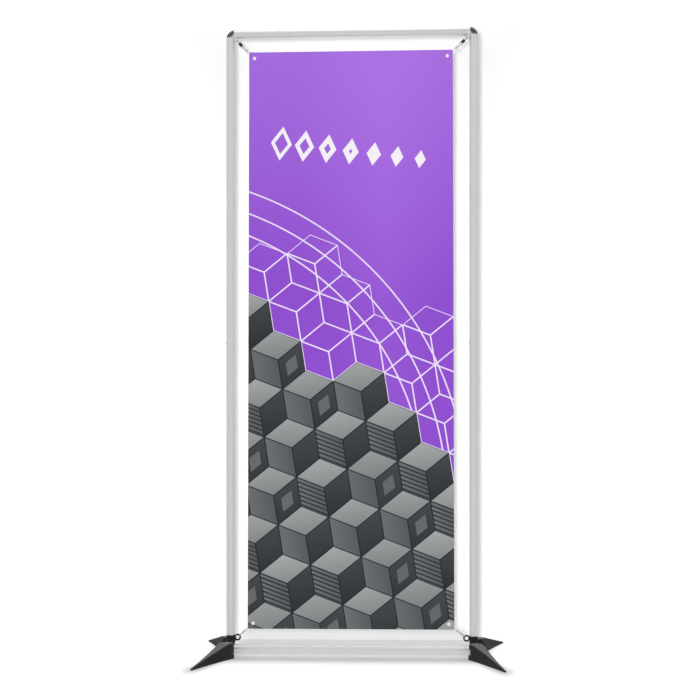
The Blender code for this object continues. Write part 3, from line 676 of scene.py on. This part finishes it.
def dress(nodes):
    """Give every CAD node its material."""
    rail = aluminium("rail_aluminium", 0)
    post = aluminium("post_aluminium", 2)
    inner_x = min(vertex.co.x for vertex in nodes["right_post_upper"].data.vertices)
    inner_z = min(vertex.co.z for vertex in nodes["top_rail"].data.vertices)
    silver = silver_corner("corner_silver", inner_x, inner_z)
    # The upper colours are a painted sheen of light from above on upward faces of the feet and the lower
    # corners.
    black = plastic("moulded_black", (0.004, 0.004, 0.005), (0.030, 0.026, 0.029), 0.58, 0.10,
                    upper=((0.130, 0.118, 0.128), (0.200, 0.188, 0.198)))
    inner = plastic("joiner_grey", (0.07, 0.07, 0.075), (0.12, 0.12, 0.125), 0.50)
    nylon = plastic("washer_nylon", (0.60, 0.59, 0.55), (0.70, 0.69, 0.66), 0.50)
    hooked = [vertex.co for vertex in nodes["tension_hook_top_right"].data.vertices]
    hook = hook_steel("hook_steel", (max(point.x for point in hooked), max(point.z for point in hooked)))
    spring = metal("spring_steel", (0.60, 0.52, 0.50), (0.80, 0.73, 0.71), 0.30)
    zinc = metal("zinc_plate", (0.50, 0.50, 0.51), (0.64, 0.64, 0.66), 0.34)
    nickel = metal("grommet_nickel", (0.93, 0.93, 0.92), (1.00, 1.00, 0.99), 0.24)
    looks = (("top_rail", rail), ("bottom_rail", rail), ("post_joiner", inner), ("post_", post),
             ("corner_top", silver), ("corner_bottom", black), ("foot_", black), ("pivot_washer", nylon),
             ("pivot_", zinc), ("hook", hook), ("button_spring", spring), ("snap_button", zinc),
             ("tension_spring", spring), ("grommet", nickel))
    for name, node in nodes.items():
        look = next((material for part, material in looks if part in name), None)
        if look:
            node.data.materials.clear()
            node.data.materials.append(look)


def close_springs(frame):
    """Copies of the leaf springs, each with its own mesh, put on the frame in place of the CAD ones."""
    for joint in frame["record"]["behaviour"]["joints"]:
        for row in joint.get("deforming_nodes", []):
            name = row["node"]
            leaf = bpy.data.objects.new(name + "_closing", frame["nodes"][name].data.copy())
            bpy.context.scene.collection.objects.link(leaf)
            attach(leaf, "frame")
            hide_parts(name)
            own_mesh(leaf)


def seen_directly(tree):
    """1 for what the camera, a glossy or a transmitted ray sees, else 0."""
    path = tree.nodes.new("ShaderNodeLightPath")
    total = path.outputs["Is Camera Ray"]
    for name in ("Is Glossy Ray", "Is Transmission Ray"):
        most = tree.nodes.new("ShaderNodeMath")
        most.operation = "MAXIMUM"
        tree.links.new(total, most.inputs[0])
        tree.links.new(path.outputs[name], most.inputs[1])
        total = most.outputs[0]
    return total


def make_world():
    """White where it is seen, and a plain soft light elsewhere."""
    world = bpy.data.worlds.new("studio")
    world.use_nodes = True
    bpy.context.scene.world = world
    tree = world.node_tree
    background = tree.nodes["Background"]
    background.inputs["Color"].default_value = (1, 1, 1, 1)
    strength = tree.nodes.new("ShaderNodeMapRange")
    strength.inputs["To Min"].default_value = AMBIENT
    strength.inputs["To Max"].default_value = 1.0
    tree.links.new(seen_directly(tree), strength.inputs["Value"])
    tree.links.new(strength.outputs[0], background.inputs["Strength"])


def whiten(m, colour, glow):
    """Make a stage surface white, yet able to show shadows."""
    m.surface(base_color=colour, roughness=0.9)
    m.put(m.shader.inputs["Specular IOR Level"], 0.0)
    m.put(m.shader.inputs["Emission Color"], (1, 1, 1, 1))
    m.put(m.shader.inputs["Emission Strength"], m.math("MULTIPLY", seen_directly(m.tree), glow))


def line_distance(m, point, start, end):
    """Distance of a point from a straight line between two places."""
    span = Vector((*end, 0)) - Vector((*start, 0))
    offset = m.vector("SUBTRACT", point, (*start, 0))
    share = m.ramp(m.vector("DOT_PRODUCT", offset, tuple(span)), 0.0, 1.0, 0.0, span.length_squared)
    reached = m.vector("MULTIPLY", m.joined(share, share), tuple(span))
    return m.vector("LENGTH", m.vector("SUBTRACT", offset, reached))


def stage_sheet(name, half, material):
    """Large flat square that belongs to the stage."""
    bm = bmesh.new()
    bmesh.ops.create_grid(bm, x_segments=4, y_segments=4, size=half)
    mesh = bpy.data.meshes.new(name)
    bm.to_mesh(mesh)
    bm.free()
    mesh.materials.append(material)
    sheet = bpy.data.objects.new(name, mesh)
    bpy.context.scene.collection.objects.link(sheet)
    return sheet


def between_posts(m, x):
    """1 between the posts, falling to 0 beside them."""
    return m.ramp(m.math("ABSOLUTE", x), 1.0, 0.0, HALF_WIDTH, HALF_WIDTH + SHADE_EDGE)


def make_floor():
    """Floor painted grey as painted shade near the rail and the feet and behind the rail, where it also shows
    real shadows, and white beyond.

    The places near the feet are those of the rest pose.
    """
    m = Nodes("floor_white")
    x, y, _ = m.split(m.place())
    side = m.math("ABSOLUTE", x)
    quarter = m.joined(m.math("MULTIPLY", side, FOOT_SIDE_FADE), m.math("ABSOLUTE", y))
    beside = m.math("MAXIMUM", m.math("SUBTRACT", side, FOOT_START[0]), 0.0)
    past_end = m.math("MULTIPLY", beside, RAIL_END_FADE)
    near_rail = m.vector("LENGTH", m.joined(past_end, m.math("MINIMUM", y, 0.0)))
    near_foot = line_distance(m, quarter, (FOOT_START[0] * FOOT_SIDE_FADE, FOOT_START[1]),
                              (FOOT_END[0] * FOOT_SIDE_FADE, FOOT_END[1]))
    far = m.math("MINIMUM", m.ramp(near_rail, 0.0, 1.0, *FLOOR_FADE), m.ramp(near_foot, 0.0, 1.0, *FOOT_FADE))
    past_rail = m.ramp(y, 0.0, 1.0, 0.0, SHADE_EDGE)
    before_backdrop = m.ramp(y, 1.0, 0.0, BACKDROP_BEHIND, BACKDROP_BEHIND + SHADE_EDGE)
    behind = m.math("MULTIPLY", m.math("MULTIPLY", past_rail, before_backdrop), between_posts(m, x))
    # Painted shade: grey behind the rail by its colour, and light grey near the rail and the feet by a low
    # own light.
    colour = m.mix(behind, m.mix(far, FLOOR_NEAR, FLOOR_FAR), FLOOR_PAINTED_SHADE_BEHIND)
    glow = m.math("MULTIPLY", m.ramp(far, *FLOOR_GLOW), m.ramp(behind, 1.0, 0.0))
    # Painted reflection: in reflections the floor has more own light near the object and behind the rail than
    # the camera sees, and less far away; this lightens the tubes' undersides.
    seen = m.add("ShaderNodeLightPath").outputs["Is Camera Ray"]
    whiten(m, colour, m.ramp(seen, m.ramp(far, *FLOOR_MIRRORED), glow))
    stage_sheet("floor", FLOOR_HALF, m.material)


def make_backdrop():
    """Backdrop that catches the frame's shadow and is clear from behind."""
    m = Nodes("backdrop_white")
    x, height, _ = m.split(m.place())
    height = m.math("ADD", height, BACKDROP_HALF)
    low = m.math("MULTIPLY", m.ramp(height, 1.0, 0.0, *BACKDROP_STEP), between_posts(m, x))
    past_side = m.math("SUBTRACT", m.math("ABSOLUTE", x), BACKDROP_OUTER[0])
    outer = m.math("MAXIMUM", past_side, m.math("SUBTRACT", height, BACKDROP_OUTER[1]))
    glow = m.math("ADD", m.ramp(height, *BACKDROP_GLOW, 0.0, BACKDROP_GLOW_TOP),
                  m.ramp(outer, 0.0, BACKDROP_OUTER_GLOW, 0.0, BACKDROP_OUTER_FADE))
    # Painted shade: the low strip between the posts is a fixed light grey.
    whiten(m, m.mix(low, BACKDROP_COLOUR, BACKDROP_PAINTED_SHADE), m.ramp(low, glow, BACKDROP_PAINTED_SHADE_GLOW))
    clear = m.add("ShaderNodeBsdfTransparent")
    blend = m.add("ShaderNodeMixShader")
    m.put(blend.inputs[0], m.add("ShaderNodeNewGeometry").outputs["Backfacing"])
    m.put(blend.inputs[1], m.shader.outputs[0])
    m.put(blend.inputs[2], clear.outputs[0])
    m.put(m.tree.nodes["Material Output"].inputs["Surface"], blend.outputs[0])
    backdrop = stage_sheet("backdrop", BACKDROP_HALF, m.material)
    backdrop.rotation_euler = (math.pi / 2, 0, 0)
    backdrop.location = (0, BACKDROP_BEHIND, BACKDROP_HALF)
    backdrop.visible_diffuse = False
    backdrop.visible_glossy = False
    backdrop.visible_shadow = False


def make_lamp(name, place, size, power, aim, mirrored=False):
    """Round lamp that points at a place and shows in reflections only if mirrored."""
    light = bpy.data.lights.new(name, "AREA")
    light.shape = "DISK"
    light.size = size
    light.energy = power
    lamp = bpy.data.objects.new(name, light)
    lamp.location = place
    lamp.rotation_euler = (Vector(aim) - Vector(place)).to_track_quat("-Z", "Y").to_euler()
    lamp.visible_glossy = mirrored
    bpy.context.scene.collection.objects.link(lamp)


def make_camera():
    """Level camera that looks at the upright axis of the frame."""
    data = bpy.data.cameras.new("camera")
    data.lens = CAMERA_LENS
    data.shift_x, data.shift_y = CAMERA_SHIFT
    camera = bpy.data.objects.new("camera", data)
    across = CAMERA_DISTANCE * math.sin(CAMERA_AZIMUTH)
    back = CAMERA_DISTANCE * math.cos(CAMERA_AZIMUTH)
    camera.location = (across, -back, CAMERA_HEIGHT)
    camera.rotation_euler = (math.pi / 2, 0, CAMERA_AZIMUTH)
    bpy.context.scene.collection.objects.link(camera)
    bpy.context.scene.camera = camera


def main():
    """Load the CAD model, dress it, and add the cloth and the stage."""
    for old in list(bpy.data.objects):
        bpy.data.objects.remove(old, do_unlink=True)
    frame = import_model()
    nodes = frame["nodes"]
    dress(nodes)
    close_springs(frame)

    shape = banner_shape(nodes)
    cloth = make_cloth(shape, print_front(shape), cloth_back())
    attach(cloth, "frame")
    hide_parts("banner")

    bpy.context.scene.view_settings.view_transform = "Standard"
    make_world()
    make_floor()
    make_backdrop()
    make_lamp("key", KEY_PLACE, KEY_SIZE, KEY_POWER, KEY_AIM)
    make_lamp("back", BACK_PLACE, BACK_SIZE, BACK_POWER, BACK_AIM)
    make_lamp("top", TOP_PLACE, TOP_SIZE, TOP_POWER, TOP_AIM, mirrored=True)
    make_camera()


main()
